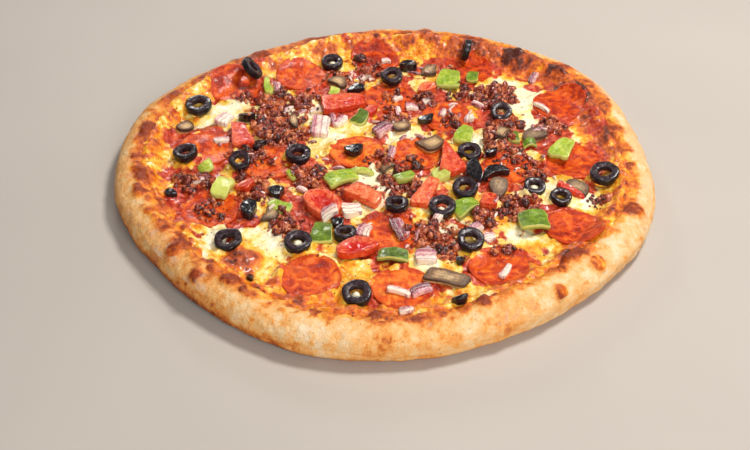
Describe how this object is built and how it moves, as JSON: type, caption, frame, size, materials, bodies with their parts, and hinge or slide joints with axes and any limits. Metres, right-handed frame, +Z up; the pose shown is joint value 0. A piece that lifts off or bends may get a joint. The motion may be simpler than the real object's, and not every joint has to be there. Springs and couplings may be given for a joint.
{
  "type": "pan pizza",
  "caption": "Whole round supreme pizza with a puffed golden rim, browned cheese, pepperoni, black olives, tomato, green pepper, mushroom, red onion and crumbled sausage.",
  "frame": {"origin": "middle of the underside's bounding box, on the surface the pizza rests on", "axes": "+Z up through the pizza, +Y away from the side seen in the picture, +X to the right"},
  "size_m": [0.349, 0.3392, 0.0343],
  "materials": {
    "crust": "baked dough, cream to golden, dry",
    "cheese": "melted and browned cheese with crumbled sausage, a little oily",
    "pepperoni": "cured sausage slice, oily",
    "olive": "black olive, wet",
    "tomato": "fresh tomato, wet",
    "green_pepper": "green pepper, waxy skin",
    "mushroom": "cooked mushroom slice",
    "onion": "raw red onion, wet"
  },
  "bodies": {
    "root": {"cheese": "cheese", "crust": "crust", "green_pepper_01": "green_pepper", "green_pepper_02": "green_pepper", "green_pepper_03": "green_pepper", "green_pepper_04": "green_pepper", "green_pepper_05": "green_pepper", "green_pepper_06": "green_pepper", "green_pepper_07": "green_pepper", "green_pepper_08": "green_pepper", "green_pepper_09": "green_pepper", "mushroom_01": "mushroom", "olive_01": "olive", "olive_02": "olive", "olive_03": "olive", "olive_04": "olive", "olive_05": "olive", "olive_06": "olive", "olive_07": "olive", "olive_08": "olive", "olive_09": "olive", "olive_10": "olive", "olive_11": "olive", "olive_12": "olive", "olive_13": "olive", "olive_14": "olive", "olive_15": "olive", "olive_16": "olive", "olive_17": "olive", "olive_18": "olive", "olive_19": "olive", "olive_20": "olive", "olive_21": "olive", "onion_01": "onion", "pepperoni_01": "pepperoni", "pepperoni_02": "pepperoni", "pepperoni_03": "pepperoni", "pepperoni_04": "pepperoni", "pepperoni_05": "pepperoni", "pepperoni_06": "pepperoni", "pepperoni_07": "pepperoni", "pepperoni_08": "pepperoni", "pepperoni_09": "pepperoni", "pepperoni_10": "pepperoni", "pepperoni_11": "pepperoni", "pepperoni_12": "pepperoni", "pepperoni_13": "pepperoni", "pepperoni_14": "pepperoni", "pepperoni_15": "pepperoni", "pepperoni_16": "pepperoni", "pepperoni_17": "pepperoni", "pepperoni_18": "pepperoni", "pepperoni_19": "pepperoni", "tomato_01": "tomato", "tomato_02": "tomato", "tomato_03": "tomato", "tomato_04": "tomato", "tomato_05": "tomato", "tomato_06": "tomato", "tomato_07": "tomato"}
  },
  "joints": []
}
